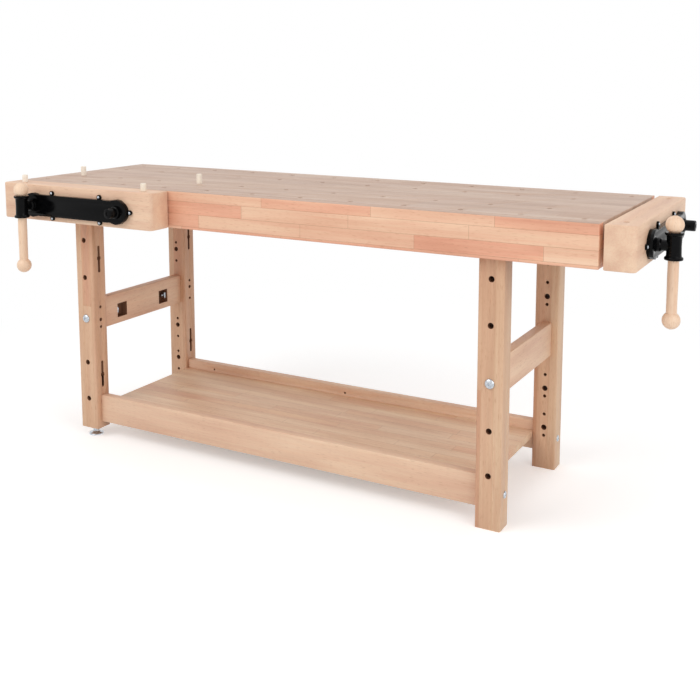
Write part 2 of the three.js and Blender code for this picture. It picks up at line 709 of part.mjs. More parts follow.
function buildJaw(vise, name, jawLength, innerFace, outerFace, screwXs) {
  const r = JAW_CORNER_R;
  const outline = new THREE.Shape();
  outline.moveTo(jawLength, innerFace);
  outline.lineTo(0, innerFace);
  outline.lineTo(0, outerFace + r);
  outline.absarc(r, outerFace + r, r, Math.PI, 1.5 * Math.PI, false);
  outline.absarc(jawLength - r, outerFace + r, r, 1.5 * Math.PI, 2 * Math.PI, false);
  outline.closePath();
  const jaw = new THREE.ExtrudeGeometry(outline, {
    depth: APRON_HEIGHT - 2 * EASED_EDGE,
    bevelThickness: EASED_EDGE,
    bevelSize: EASED_EDGE,
    bevelOffset: -EASED_EDGE,
    bevelSegments: 1,
    curveSegments: CORNER_STEPS,
  }).translate(0, 0, APRON_BASE + EASED_EDGE);
  const cuts = screwXs.flatMap((x) => [
    bore("y", SCREW_R, outerFace - OVERCUT, innerFace + OVERCUT, [x, SCREW_HEIGHT]),
    bore("y", COLLAR_R, innerFace - COLLAR_RECESS, innerFace + OVERCUT, [x, SCREW_HEIGHT]),
  ]);
  const holeY = (innerFace + outerFace) / 2;
  const holeXs = [JAW_DOG_INSET, jawLength - JAW_DOG_INSET];
  for (const x of holeXs) {
    cuts.push(dogHole(x, holeY, TOP_HEIGHT - JAW_DOG_HOLE_DEPTH));
  }
  add(vise, `${name}_jaw`, "frame", cut(jaw, cuts));
  if (name === "front_vise") {
    holeXs.forEach((x, i) => {
      add(vise, `front_jaw_dog_${i + 1}`, "dowel", dog(x, holeY, TOP_HEIGHT, JAW_DOG_HEAD));
    });
  }
}

function buildChainDrive(vise, name, middleX, outerFace, screwXs) {
  const z = SCREW_HEIGHT;
  const half = COVER_HEIGHT / 2;
  const seat = FIT;
  const body = stadium(z, middleX, COVER_HALF_LENGTH - half, half);
  const shells = [outPlate(body, outerFace, seat, COVER_RISE)];
  const hollow = COVER_RISE - COVER_WALL;
  const inner = stadium(z, middleX, COVER_HALF_LENGTH - half, half - COVER_WALL);
  const cuts = [outPlate(inner, outerFace, -OVERCUT, hollow)];
  for (const x of screwXs) {
    shells.push(rod("y", COVER_BOSS_R, outerFace - COVER_RISE, outerFace - seat, [x, z], FINE));
    cuts.push(rod("y", COVER_BOSS_R - COVER_WALL, outerFace - hollow, outerFace + OVERCUT, [x, z], FINE));
    cuts.push(bore("y", HUB_COLLAR_R, outerFace - COVER_RISE - OVERCUT, outerFace, [x, z], FINE));
  }
  const lugs = [];
  for (const side of [-1, 1]) {
    for (const along of [-LUG_SPREAD, LUG_SPREAD]) {
      lugs.push([middleX + along, z + side * (half + LUG_REACH)]);
    }
    lugs.push([middleX + side * (COVER_HALF_LENGTH + LUG_REACH), z]);
  }
  for (const [x, lugZ] of lugs) {
    shells.push(rod("y", LUG_R, outerFace - LUG_THICK, outerFace - seat, [x, lugZ], PLAIN));
  }
  const cover = cuts.reduce((left, tool) => left.subtract(solidOf(tool)), join(shells));
  add(vise, `${name}_chain_cover`, "enamel", cover);

  const loop = stadium(z, middleX, SCREW_SPACING / 2, CHAIN_R + CHAIN_HEIGHT / 2);
  loop.holes.push(stadium(z, middleX, SCREW_SPACING / 2, CHAIN_R - CHAIN_HEIGHT / 2));
  const chain = outPlate(loop, outerFace, CHAIN_STANDOFF, CHAIN_STANDOFF + CHAIN_WIDTH);
  add(vise, `${name}_chain`, "steel", chain);
}

// A vise screw held in the jaw by a collar in its inner face and a sprocket on its outer face
function screw(x, innerFace, outerFace, innerEnd) {
  const inner = -innerFace;
  const outer = -outerFace;
  const collarNear = inner + FIT;
  const tip = outer + COVER_RISE + SPIGOT_LENGTH;
  const profile = [
    [0, -innerEnd],
    [SCREW_R - SCREW_CHAMFER, -innerEnd],
    [SCREW_R, SCREW_CHAMFER - innerEnd],
    [SCREW_R, collarNear],
    [COLLAR_R, collarNear],
    [COLLAR_R, collarNear + COLLAR_THICK],
    [SCREW_R, collarNear + COLLAR_THICK],
    [SCREW_R, outer + COVER_RISE - COVER_WALL],
    [SPIGOT_R, outer + COVER_RISE - COVER_WALL],
    [SPIGOT_R, tip],
    [0, tip],
  ];
  const shaft = turnedOut(profile, PLAIN).translate(x, 0, SCREW_HEIGHT);
  const near = CHAIN_STANDOFF + (CHAIN_WIDTH - SPROCKET_THICK) / 2;
  const sprocket = outPlate(sprocketOutline(SCREW_HEIGHT, x), outerFace, near, near + SPROCKET_THICK);
  return join([shaft, sprocket]);
}

function screwNut(x, near, far) {
  const halfLength = NUT_PLATE_LENGTH / 2;
  const halfHeight = NUT_PLATE_HEIGHT / 2;
  const plate = block(
    [x - halfLength, near, SCREW_HEIGHT - halfHeight],
    [x + halfLength, near + NUT_PLATE_THICK, SCREW_HEIGHT + halfHeight],
  );
  const boss = rod("y", NUT_BOSS_R, near, far, [x, SCREW_HEIGHT], FINE);
  const through = bore("y", SCREW_R, near - OVERCUT, far + OVERCUT, [x, SCREW_HEIGHT]);
  return join([plate, boss]).subtract(solidOf(through));
}

// The drive hub: a collar on the screw, a neck, and an upright flanged sleeve for the handle
function teeHub(x, outerFace) {
  const outer = -outerFace;
  const start = outer + COVER_RISE - COVER_WALL + FIT;
  const shoulder = outer + COVER_RISE + HUB_COLLAR_LENGTH;
  const neck = [
    [0, start],
    [HUB_COLLAR_R, start],
    [HUB_COLLAR_R, shoulder],
    [HUB_NECK_R, shoulder + HUB_TAPER],
    [HUB_NECK_R, outer + SLEEVE_REACH],
    [0, outer + SLEEVE_REACH],
  ];
  const half = SLEEVE_HEIGHT / 2;
  const sleeve = [
    [0, -half],
    [SLEEVE_FLANGE_R, -half],
    [SLEEVE_FLANGE_R, SLEEVE_FLANGE_THICK - half],
    [SLEEVE_R, SLEEVE_FLANGE_THICK + SLEEVE_TAPER - half],
    [SLEEVE_R, half - SLEEVE_FLANGE_THICK - SLEEVE_TAPER],
    [SLEEVE_FLANGE_R, half - SLEEVE_FLANGE_THICK],
    [SLEEVE_FLANGE_R, half],
    [0, half],
  ];
  const upright = turned(sleeve, FINE).translate(x, outerFace - SLEEVE_REACH, SCREW_HEIGHT);
  const stem = turnedOut(neck, FINE).translate(x, 0, SCREW_HEIGHT);
  const eye = rod(
    "z",
    boreR(HANDLE_R, FINE),
    SCREW_HEIGHT - half - OVERCUT,
    SCREW_HEIGHT + half + OVERCUT,
    [x, outerFace - SLEEVE_REACH],
    FINE,
  );
  return join([stem, upright]).subtract(solidOf(eye)).subtract(solidOf(spigotSocket(x, outerFace)));
}

function spigotSocket(x, outerFace) {
  const deep = outerFace - COVER_RISE - SPIGOT_LENGTH - FIT;
  return bore("y", SPIGOT_R, deep, outerFace, [x, SCREW_HEIGHT]);
}

// The plain round cap on the second screw
function stubHub(x, outerFace) {
  const outer = -outerFace;
  const start = outer + COVER_RISE - COVER_WALL + FIT;
  const ringEnd = outer + COVER_RISE + STUB_RING_LENGTH;
  const profile = [
    [0, start],
    [HUB_COLLAR_R, start],
    [HUB_COLLAR_R, outer + COVER_RISE + FIT],
    [STUB_RING_R, outer + COVER_RISE + FIT],
    [STUB_RING_R, ringEnd],
    [STUB_R, ringEnd + HUB_TAPER],
    [STUB_R, outer + STUB_REACH - STUB_CHAMFER],
    [STUB_R - STUB_CHAMFER, outer + STUB_REACH],
    [0, outer + STUB_REACH],
  ];
  const cap = turnedOut(profile, FINE).translate(x, 0, SCREW_HEIGHT);
  return cut(cap, [spigotSocket(x, outerFace)]);
}

// Points of a ball from one height to another, given from its middle
function ballArc(middle, from, to) {
  return Array.from({ length: BALL_STEPS + 1 }, (_, step) => {
    const angle = Math.asin(from) + ((Math.asin(to) - Math.asin(from)) * step) / BALL_STEPS;
    return [HANDLE_BALL_R * Math.cos(angle), middle + HANDLE_BALL_R * Math.sin(angle)];
  });
}

// A handle hanging in its sleeve: the upper ball rests on the sleeve's rim
function buildHandle(vise, name, x, y) {
  const upper = SCREW_HEIGHT + SLEEVE_HEIGHT / 2 + FIT + BALL_SEAT;
  const lower = upper - BALL_SPAN;
  const seat = BALL_SEAT / HANDLE_BALL_R;
  const shoulder = upper - BALL_SEAT - FIT;
  const lowerBall = ballArc(lower, -1, seat);
  lowerBall[0][0] = 0;
  const rodProfile = [
    ...lowerBall,
    [HANDLE_R, shoulder],
    [HANDLE_SPIGOT_R, shoulder],
    [HANDLE_SPIGOT_R, shoulder + HANDLE_SPIGOT_LENGTH],
    [0, shoulder + HANDLE_SPIGOT_LENGTH],
  ];
  add(vise, `${name}_handle`, "frame", turned(rodProfile, FINE).translate(x, y, 0));
  const upperBall = ballArc(upper, -seat, 1);
  upperBall[upperBall.length - 1][0] = 0;
  const ball = turned([[0, upper - BALL_SEAT], ...upperBall], FINE).translate(x, y, 0);
  const top = shoulder + HANDLE_SPIGOT_LENGTH + FIT;
  const socket = bore("z", HANDLE_SPIGOT_R, upper - BALL_SEAT - OVERCUT, top, [x, y]);
  add(vise, `${name}_handle_ball`, "frame", cut(ball, [socket]));
}

const bench = new THREE.Group();
buildTop(bench);
buildLegs(bench);
buildStand(bench);
buildShelf(bench);
bench.add(buildVise("front_vise", FRONT_JAW_LENGTH, FRONT_GAP, FRONT_OPENING_TURNS));

// The end vise is the same, turned a quarter so that its jaw faces the bench's right end
const endVise = buildVise("end_vise", TOP_DEPTH, END_GAP, END_OPENING_TURNS);
endVise.rotation.z = Math.PI / 2;
endVise.position.x = TOP_LENGTH;
bench.add(endVise);

bench.position.set(-(TOP_LENGTH + END_OUT) / 2, (FRONT_OUT - TOP_DEPTH) / 2, 0);

const model = new THREE.Group();
model.add(bench);
export default model;
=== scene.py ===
# %% [markdown]
# A beech woodworking bench with two twin-screw vises. The bench's solids come from a fixed frame, in
# metres. This lesson dresses them: it eases their edges, turns the round pieces anew, and gives them
# wood, enamel and zinc.

# %% Load the frame
import json
import math

import bpy
from mathutils import Matrix, Vector


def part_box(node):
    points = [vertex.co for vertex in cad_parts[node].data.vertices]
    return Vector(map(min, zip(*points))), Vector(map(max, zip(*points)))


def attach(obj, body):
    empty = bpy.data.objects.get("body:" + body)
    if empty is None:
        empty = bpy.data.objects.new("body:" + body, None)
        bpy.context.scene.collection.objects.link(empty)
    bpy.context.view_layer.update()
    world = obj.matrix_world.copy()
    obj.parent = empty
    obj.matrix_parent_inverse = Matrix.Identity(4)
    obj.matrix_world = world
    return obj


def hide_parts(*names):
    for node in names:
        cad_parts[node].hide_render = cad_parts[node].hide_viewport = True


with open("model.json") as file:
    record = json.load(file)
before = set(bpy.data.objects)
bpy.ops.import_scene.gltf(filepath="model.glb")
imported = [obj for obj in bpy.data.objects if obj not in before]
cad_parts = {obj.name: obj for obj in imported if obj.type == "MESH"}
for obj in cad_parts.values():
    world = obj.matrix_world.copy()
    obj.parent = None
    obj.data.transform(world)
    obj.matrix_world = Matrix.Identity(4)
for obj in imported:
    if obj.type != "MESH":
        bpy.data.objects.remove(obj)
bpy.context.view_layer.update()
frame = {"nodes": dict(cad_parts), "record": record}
nodes = list(frame["nodes"])
body_of = {node: body for body, held in frame["record"]["behaviour"]["bodies"].items() for node in held}
slot_of = {part["node"]: part["material_slot"] for part in frame["record"]["subparts"]}

# %% [markdown]
# The photograph was taken from a little above the top, at the bench's right front corner. Its upright
# edges stay nearly parallel. A camera that only tilts down would make them lean, so part of the
# downward look is a lens shift and the rest is a small tilt.

# %% Camera
CAMERA_PLACE = (1.5245, -2.625, 1.2547)
CAMERA_YAW = 0.50493
CAMERA_DIP = 0.13059
CAMERA_LENS = 51.46
CAMERA_SHIFT = -0.22
SENSOR_WIDTH = 36.0

camera_data = bpy.data.cameras.new("bench_camera")
camera_data.lens = CAMERA_LENS
camera_data.sensor_width = SENSOR_WIDTH
camera_data.shift_y = CAMERA_SHIFT
camera = bpy.data.objects.new("bench_camera", camera_data)
bpy.context.scene.collection.objects.link(camera)
camera.location = CAMERA_PLACE
camera.rotation_euler = (math.pi / 2 - CAMERA_DIP, 0.0, CAMERA_YAW)
bpy.context.scene.camera = camera
print("camera:", CAMERA_PLACE, "lens:", CAMERA_LENS)

# %% [markdown]
# Floor, sky and finishes are all trees of shader nodes. A tree can be wired by hand in the editor, but
# the same few steps come back in each, so they are short functions here.

# %% Node helpers
WHITE = (1.0, 1.0, 1.0, 1.0)


def wire(tree, value, socket):
    """Sets a socket, by a link from another socket or to a fixed value."""
    if isinstance(value, bpy.types.NodeSocket):
        tree.links.new(value, socket)
    else:
        socket.default_value = value


def maths(tree, operation, a, b):
    node = tree.nodes.new("ShaderNodeMath")
    node.operation = operation
    wire(tree, a, node.inputs[0])
    wire(tree, b, node.inputs[1])
    return node.outputs[0]


def mixed(tree, share, first, second):
    """Two shaders in one: the second where the share is 1, the first where it is 0."""
    node = tree.nodes.new("ShaderNodeMixShader")
    for value, socket in zip((share, first, second), node.inputs):
        wire(tree, value, socket)
    return node.outputs[0]


def with_reflections(tree, path, seen):
    """A share that is also 1 for rays that were reflected or went through glass."""
    seen = maths(tree, "MAXIMUM", seen, path["Is Glossy Ray"])
    return maths(tree, "MAXIMUM", seen, path["Is Transmission Ray"])


# %% [markdown]
# The bench stands on white studio paper. A real sweep curves up behind the object, but a large flat
# plane does the same here. Close to the bench it is a pale matt shader that takes the soft shadow, and
# it fades to plain white further off, so that no horizon shows. In reflections it is white everywhere.

# %% Floor
FLOOR_SIZE = 60.0
FLOOR_COLOUR = (0.9, 0.9, 0.9, 1.0)
FLOOR_ROUGHNESS = 0.9
FLOOR_GLOW = 0.32
WHITE_FROM = 0.9
WHITE_BEYOND = 2.4


def distance_fade(tree):
    """0 under the bench, rising to 1 away from it."""
    place = tree.nodes.new("ShaderNodeTexCoord")
    reach = tree.nodes.new("ShaderNodeVectorMath")
    reach.operation = "LENGTH"
    wire(tree, place.outputs["Object"], reach.inputs[0])
    fade = tree.nodes.new("ShaderNodeMapRange")
    fade.interpolation_type = "SMOOTHSTEP"
    wire(tree, WHITE_FROM, fade.inputs["From Min"])
    wire(tree, WHITE_BEYOND, fade.inputs["From Max"])
    wire(tree, reach.outputs["Value"], fade.inputs["Value"])
    return fade.outputs[0]


def studio_paper():
    look = bpy.data.materials.new("studio_paper")
    look.use_nodes = True
    tree = look.node_tree
    path = tree.nodes.new("ShaderNodeLightPath").outputs
    paper = tree.nodes["Principled BSDF"]
    wire(tree, FLOOR_COLOUR, paper.inputs["Base Color"])
    wire(tree, FLOOR_ROUGHNESS, paper.inputs["Roughness"])
    wire(tree, WHITE, paper.inputs["Emission Color"])
    glow = maths(tree, "MULTIPLY", path["Is Camera Ray"], FLOOR_GLOW)
    wire(tree, glow, paper.inputs["Emission Strength"])
    white = tree.nodes.new("ShaderNodeEmission")
    wire(tree, WHITE, white.inputs["Color"])
    far_off = maths(tree, "MULTIPLY", path["Is Camera Ray"], distance_fade(tree))
    share = with_reflections(tree, path, far_off)
    surface = mixed(tree, share, paper.outputs[0], white.outputs[0])
    wire(tree, surface, tree.nodes["Material Output"].inputs["Surface"])
    return look


bpy.ops.object.select_all(action="DESELECT")
bpy.ops.mesh.primitive_plane_add(size=FLOOR_SIZE, location=(0.0, 0.0, 0.0))
floor = bpy.context.object
floor.name = "studio_floor"
floor.data.materials.append(studio_paper())
print("floor:", FLOOR_SIZE, "m wide")

# %% [markdown]
# The background of a product photograph is pure white, but a white sky that bright would also light the
# bench and wash out its shadows. So the sky has two strengths: the camera and reflections see full
# white, and the bench is lit by a weaker one.

# %% Sky
WORLD_LEVEL = 0.58
SEEN_LEVEL = 1.0


def sky_shader(tree, node, level):
    wire(tree, WHITE, node.inputs["Color"])
    wire(tree, level, node.inputs["Strength"])
    return node.outputs[0]


world = bpy.data.worlds.new("studio")
bpy.context.scene.world = world
world.use_nodes = True
sky_tree = world.node_tree
sky_path = sky_tree.nodes.new("ShaderNodeLightPath").outputs
sky_lights = sky_shader(sky_tree, sky_tree.nodes["Background"], WORLD_LEVEL)
sky_shows = sky_shader(sky_tree, sky_tree.nodes.new("ShaderNodeBackground"), SEEN_LEVEL)
sky_share = with_reflections(sky_tree, sky_path, sky_path["Is Camera Ray"])
sky = mixed(sky_tree, sky_share, sky_lights, sky_shows)
wire(sky_tree, sky, sky_tree.nodes["World Output"].inputs["Surface"])
print("sky:", WORLD_LEVEL)

# %% [markdown]
# Three large area lamps stand for the studio's soft boxes: a key from the left front, a fill from the
# right and a weak one overhead. A large lamp gives a soft shadow edge, and each is turned to the middle
# of the bench. The Standard view keeps the colours as they are written.

# %% Lamps
LAMPS = {
    "key_lamp": ((-2.2, -3.6, 3.8), 3.2, 90.0),
    "fill_lamp": ((4.2, -1.8, 2.4), 3.0, 62.0),
    "top_lamp": ((0.2, 0.6, 4.4), 3.6, 22.0),
}
LAMP_AIM = Vector((0.0, 0.0, 0.45))

for name, (place, size, power) in LAMPS.items():
    lamp_data = bpy.data.lights.new(name, "AREA")
    lamp_data.size = size
    lamp_data.energy = power
    lamp = bpy.data.objects.new(name, lamp_data)
    lamp.location = place
    lamp.rotation_euler = (LAMP_AIM - lamp.location).to_track_quat("-Z", "Y").to_euler()
    bpy.context.scene.collection.objects.link(lamp)
bpy.context.scene.view_settings.view_transform = "Standard"
print("lamps:", len(LAMPS))

# %% [markdown]
# Every finish starts from the Principled shader. A small class holds the material while it is built,
# with a method for each kind of node. Patterns read Object coordinates, so that they stay in place on
# the wood however the pieces are cut.

# %% Finish under construction


def linear(code):
    """A written colour such as E6C39A as the linear colour that shaders use."""
    parts = [int(code[i:i + 2], 16) / 255 for i in (0, 2, 4)]
    return tuple(p / 12.92 if p <= 0.04045 else ((p + 0.055) / 1.055) ** 2.4 for p in parts) + (1.0,)


def grey(level):
    return (level, level, level, 1.0)


# Where a Mix node keeps its sockets for colours.
MIX_A = 6
MIX_B = 7
MIX_RESULT = 2


class Look:
    """A material under construction, with short ways to add and wire its nodes."""

    def __init__(self, name):
        self.material = bpy.data.materials.new(name)
        self.material.use_nodes = True
        self.tree = self.material.node_tree
        self.shader = self.tree.nodes["Principled BSDF"]
        self.place = self.tree.nodes.new("ShaderNodeTexCoord").outputs["Object"]

    def give(self, name, value):
        """Sets one of the shader's own inputs."""
        wire(self.tree, value, self.shader.inputs[name])

    def maths(self, operation, a, b=0.0):
        return maths(self.tree, operation, a, b)

    def stretched(self, scale):
        node = self.tree.nodes.new("ShaderNodeMapping")
        node.inputs["Scale"].default_value = scale
        wire(self.tree, self.place, node.inputs["Vector"])
        return node.outputs[0]

    def noise(self, place, scale, detail):
        node = self.tree.nodes.new("ShaderNodeTexNoise")
        wire(self.tree, place, node.inputs["Vector"])
        node.inputs["Scale"].default_value = scale
        node.inputs["Detail"].default_value = detail
        return node.outputs["Fac"]

    def ramp(self, value, span, low_colour, high_colour):
        node = self.tree.nodes.new("ShaderNodeValToRGB")
        first, last = node.color_ramp.elements
        first.position, last.position = span
        first.color, last.color = low_colour, high_colour
        wire(self.tree, value, node.inputs[0])
        return node.outputs["Color"]

    def blend(self, kind, amount, a, b):
        node = self.tree.nodes.new("ShaderNodeMix")
        node.data_type = "RGBA"
        node.blend_type = kind
        wire(self.tree, amount, node.inputs[0])
        wire(self.tree, a, node.inputs[MIX_A])
        wire(self.tree, b, node.inputs[MIX_B])
        return node.outputs[MIX_RESULT]

    def bump(self, height, strength, distance):
        node = self.tree.nodes.new("ShaderNodeBump")
        node.inputs["Strength"].default_value = strength
        node.inputs["Distance"].default_value = distance
        wire(self.tree, height, node.inputs["Height"])
        self.give("Normal", node.outputs[0])


# %% [markdown]
# The bench top, the aprons and the shelf are glued from short staves, so each stave has its own tone and
# a thin glue line. A picture of staves could be laid on, but its joints would repeat. Here the place is
# divided into rows and lengths, and a random number is drawn for each stave.

# %% Staves
AXES = {"x": 0, "y": 1, "z": 2}
STACK_START = 3.0
LENGTH_START = 5.0
ROW_SHIFT = 7.0
GLUE_LINE = 0.0009


def staves(look, grain, stack, width, length):
    """A random number for each stave, and a mask that is 1 on its glue lines."""
    split = look.tree.nodes.new("ShaderNodeSeparateXYZ")
    wire(look.tree, look.place, split.inputs[0])
    across = look.maths("DIVIDE", look.maths("ADD", split.outputs[AXES[stack]], STACK_START), width)
    row = look.maths("FLOOR", across)
    shift = look.tree.nodes.new("ShaderNodeTexWhiteNoise")
    shift.noise_dimensions = "1D"
    wire(look.tree, row, shift.inputs["W"])
    along = look.maths("DIVIDE", look.maths("ADD", split.outputs[AXES[grain]], LENGTH_START), length)
    along = look.maths("ADD", along, look.maths("MULTIPLY", shift.outputs["Value"], ROW_SHIFT))
    column = look.maths("FLOOR", along)
    pair = look.tree.nodes.new("ShaderNodeCombineXYZ")
    wire(look.tree, row, pair.inputs[0])
    wire(look.tree, column, pair.inputs[1])
    tone = look.tree.nodes.new("ShaderNodeTexWhiteNoise")
    wire(look.tree, pair.outputs[0], tone.inputs["Vector"])
    glue_row = look.maths("LESS_THAN", look.maths("FRACT", across), GLUE_LINE / width)
    glue_end = look.maths("LESS_THAN", look.maths("FRACT", along), GLUE_LINE / length)
    return tone.outputs["Value"], look.maths("MAXIMUM", glue_row, glue_end)


# %% [markdown]
# Beech is a close, even wood: slow changes of tone, a fine straight grain and short dark flecks. Each is
# a noise pattern that is stretched along the grain, and they are laid over one another. The fine grain
# also drives the gloss and a slight relief, as it does on planed wood.

# %% Beech
# How a pattern is stretched across the grain and along it, and the scale and detail of its noise.
SLOW_TONES = (9.0, 1.1, 2.2, 4.0)
FINE_LINES = (190.0, 5.0, 1.0, 3.0)
FLECKS = (520.0, 45.0, 1.0, 1.0)
TONE_SPAN = (0.3, 0.72)
LINE_SHARE = 0.28
LINE_SPAN = (0.3, 0.7)
LINE_COLOURS = ((0.36, 0.34, 0.33, 1.0), grey(0.6))
FLECK_SHARE = 0.4
FLECK_SPAN = (0.27, 0.4)
FLECK_COLOUR = (0.62, 0.47, 0.38, 1.0)
STAVE_COLOURS = ((0.4, 0.355, 0.33, 1.0), (0.585, 0.58, 0.575, 1.0))
GLUE_SHARE = 0.6
SMOOTHER = 0.07
ROUGHER = 0.09
GLOSS_SPAN = (0.2, 0.8)
GRAIN_RELIEF = (0.16, 0.0006)


def grain_noise(look, grain, pattern):
    """A noise pattern that runs along the grain."""
    across, along, scale, detail = pattern
    stretch = [across, across, across]
    stretch[AXES[grain]] = along
    return look.noise(look.stretched(stretch), scale, detail)


def beech(name, grain, dark, light, stave=None, glue="9C7153", roughness=0.5, contrast=0.7):
    look = Look(name)
    tone = grain_noise(look, grain, SLOW_TONES)
    lines = grain_noise(look, grain, FINE_LINES)
    flecks = grain_noise(look, grain, FLECKS)
    base = look.ramp(tone, TONE_SPAN, linear(dark), linear(light))
    base = look.blend("OVERLAY", LINE_SHARE, base, look.ramp(lines, LINE_SPAN, *LINE_COLOURS))
    base = look.blend("MULTIPLY", FLECK_SHARE, base, look.ramp(flecks, FLECK_SPAN, FLECK_COLOUR, WHITE))
    if stave:
        random, line = staves(look, grain, *stave)
        tint = look.ramp(random, (0.0, 1.0), *STAVE_COLOURS)
        base = look.blend("OVERLAY", contrast, base, tint)
        base = look.blend("MIX", look.maths("MULTIPLY", line, GLUE_SHARE), base, linear(glue))
    look.give("Base Color", base)
    gloss = (grey(roughness - SMOOTHER), grey(roughness + ROUGHER))
    look.give("Roughness", look.ramp(lines, GLOSS_SPAN, *gloss))
    look.bump(lines, *GRAIN_RELIEF)
    return look.material


# %% [markdown]
# The pieces differ in tone and in the way their grain runs. The top is a little greyer than the aprons:
# part of that is its own tone, and part is painted shade and a painted grey sheen, as a face that looks up
# shows under a white studio. The handles and dogs are paler, and the walls inside a drilled hole get a
# dark colour, which is painted shade. A stave is given as the axis that the staves stack along, their
# width and their length.

# %% Woods of the bench
PALE = ("DCB397", "EFCFB2")
# The top's colours: its beech tone, greyed and darkened by painted shade and a painted grey sheen.
TOP_TONE_AND_PAINTED_SHEEN = ("BC9F8C", "CEB6A5")
APRON = ("DEA98C", "F2C6A8")
APRON_STAVE = ("z", 0.0384, 0.36)
wood = {
    "slab": beech("glued_top", "x", *TOP_TONE_AND_PAINTED_SHEEN, stave=("y", 0.0385, 0.43), contrast=0.4),
    "apron": beech("glued_apron", "x", *APRON, stave=APRON_STAVE),
    "end_apron": beech("glued_end_apron", "y", *APRON, stave=APRON_STAVE),
    "shelf": beech("glued_shelf", "x", "DCB698", "F3D8BC", stave=("y", 0.042, 0.4), contrast=0.45),
    "along": beech("beech_along", "x", *PALE),
    "across": beech("beech_across", "y", *PALE),
    "upright": beech("beech_upright", "z", "CCA283", "E0BB9C", stave=("x", 0.0365, 3.0), glue="C2936C"),
    "turned": beech("beech_turned", "z", "E8C5A8", "F6DBC0", roughness=0.4),
    "dowel": beech("beech_dowel", "z", "EFE2CF", "FAF3E8", roughness=0.45),
    # Hole walls: a dark colour that is painted shade.
    "hole_shade": beech("beech_painted_hole_shade", "z", "6B4630", "84593D", roughness=0.75),
}
print("woods:", sorted(wood))

# %% [markdown]
# The vise castings are black gloss enamel, which lies a little wavy over the casting. The bolts and feet
# are bright zinc, faintly clouded. The screws inside are oiled steel. One noise pattern is enough for
# each: it shifts the colour and the gloss together, and a fine relief keeps reflections from looking
# like a mirror's.

# %% Metals
# The scale and detail of each noise, and the strength and depth of each relief.
ENAMEL_CLOUDS = (90.0, 2.0)
ENAMEL_RIPPLES = (260.0, 2.0)
ENAMEL_RELIEF = (0.12, 0.0004)
ENAMEL_GLOSS = 0.1
METAL_CLOUDS = (220.0, 4.0)
METAL_RELIEF = (0.08, 0.0003)
CLOUD_SPAN = (0.3, 0.7)
ROUGHNESS_SPAN = (0.25, 0.75)


def enamel():
    look = Look("black_enamel")
    cloud = look.noise(look.place, *ENAMEL_CLOUDS)
    look.give("Base Color", look.ramp(cloud, CLOUD_SPAN, linear("050506"), linear("0A0A0B")))
    look.give("Roughness", look.ramp(cloud, CLOUD_SPAN, grey(0.12), grey(0.2)))
    look.give("Specular IOR Level", ENAMEL_GLOSS)
    look.bump(look.noise(look.place, *ENAMEL_RIPPLES), *ENAMEL_RELIEF)
    return look.material


def bare_metal(name, dark, light, smooth, rough):
    look = Look(name)
    cloud = look.noise(look.place, *METAL_CLOUDS)
    look.give("Base Color", look.ramp(cloud, CLOUD_SPAN, linear(dark), linear(light)))
    look.give("Roughness", look.ramp(cloud, ROUGHNESS_SPAN, grey(smooth), grey(rough)))
    look.give("Metallic", 1.0)
    look.bump(cloud, *METAL_RELIEF)
    return look.material


metal = {
    "black_enamel": enamel(),
    "zinc": bare_metal("bright_zinc", "B4BAC2", "D9DDE2", 0.22, 0.36),
    "screw_steel": bare_metal("oiled_steel", "5C6065", "7D8186", 0.3, 0.48),
}
print("metals:", sorted(metal))

# %% [markdown]
# A metal piece takes its finish from its slot. A wooden one also needs the way its grain runs, which its
# name tells: legs stand, the pieces at the ends lie across the bench, and the rest lies along it. The
# first ending that fits decides.

# %% Finish of each piece
WOOD_OF_SLOT = {"pale_dowel": "dowel", "beech_handle": "turned"}
WOOD_OF_ENDING = {
    "top_slab": "slab",
    "shelf_panel": "shelf",
    "end_apron": "end_apron",
    "apron": "apron",
    "_leg": "upright",
    "stretcher": "across",
    "bearer": "across",
    "end_vise_jaw": "across",
}


def finish_of(node):
    slot = slot_of[node]
    if slot in metal:
        return metal[slot]
    if slot in WOOD_OF_SLOT:
        return wood[WOOD_OF_SLOT[slot]]
    for ending, look in WOOD_OF_ENDING.items():
        if node.endswith(ending):
            return wood[look]
    return wood["along"]


# %% [markdown]
# Sawn, planed and cast pieces start as a copy of their solid, which keeps their exact place. A solid's
# mesh is loose triangles, so the copy's doubles are merged and its flat faces joined first: an edge can
# only be worked on when two faces share it.

# %% Copies of the solids
MERGE = 0.00002
SAME_PLANE = 0.002


def only(piece):
    """Makes a piece the one that the next operator works on."""
    bpy.ops.object.select_all(action="DESELECT")
    piece.select_set(True)
    bpy.context.view_layer.objects.active = piece


def copy_of(node):
    piece = bpy.data.objects.new(node + "_eased", frame["nodes"][node].data.copy())
    bpy.context.scene.collection.objects.link(piece)
    only(piece)
    bpy.ops.object.mode_set(mode="EDIT")
    bpy.ops.mesh.select_all(action="SELECT")
    bpy.ops.mesh.remove_doubles(threshold=MERGE)
    bpy.ops.mesh.dissolve_limited(angle_limit=SAME_PLANE)
    bpy.ops.object.mode_set(mode="OBJECT")
    return piece


def dress(piece, node):
    """Gives a piece the finish, slot and body of the node that it stands for."""
    piece.data.materials.clear()
    piece.data.materials.append(finish_of(node))
    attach(piece, body_of[node])
    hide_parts(node)
    return piece


# %% [markdown]
# Holes are cut with a cylinder and a boolean, as with a drill. The cylinder is made standing up and is
# turned to the axis that it has to drill along.

# %% Drilling
BORE_STEPS = 32
CUTTER_TURNS = [(0.0, math.pi / 2, 0.0), (math.pi / 2, 0.0, 0.0), (0.0, 0.0, 0.0)]


def cylinder(radius, depth, middle, axis):
    bpy.ops.object.select_all(action="DESELECT")
    bpy.ops.mesh.primitive_cylinder_add(
        vertices=BORE_STEPS, radius=radius, depth=depth, location=middle, rotation=CUTTER_TURNS[axis]
    )
    return bpy.context.object


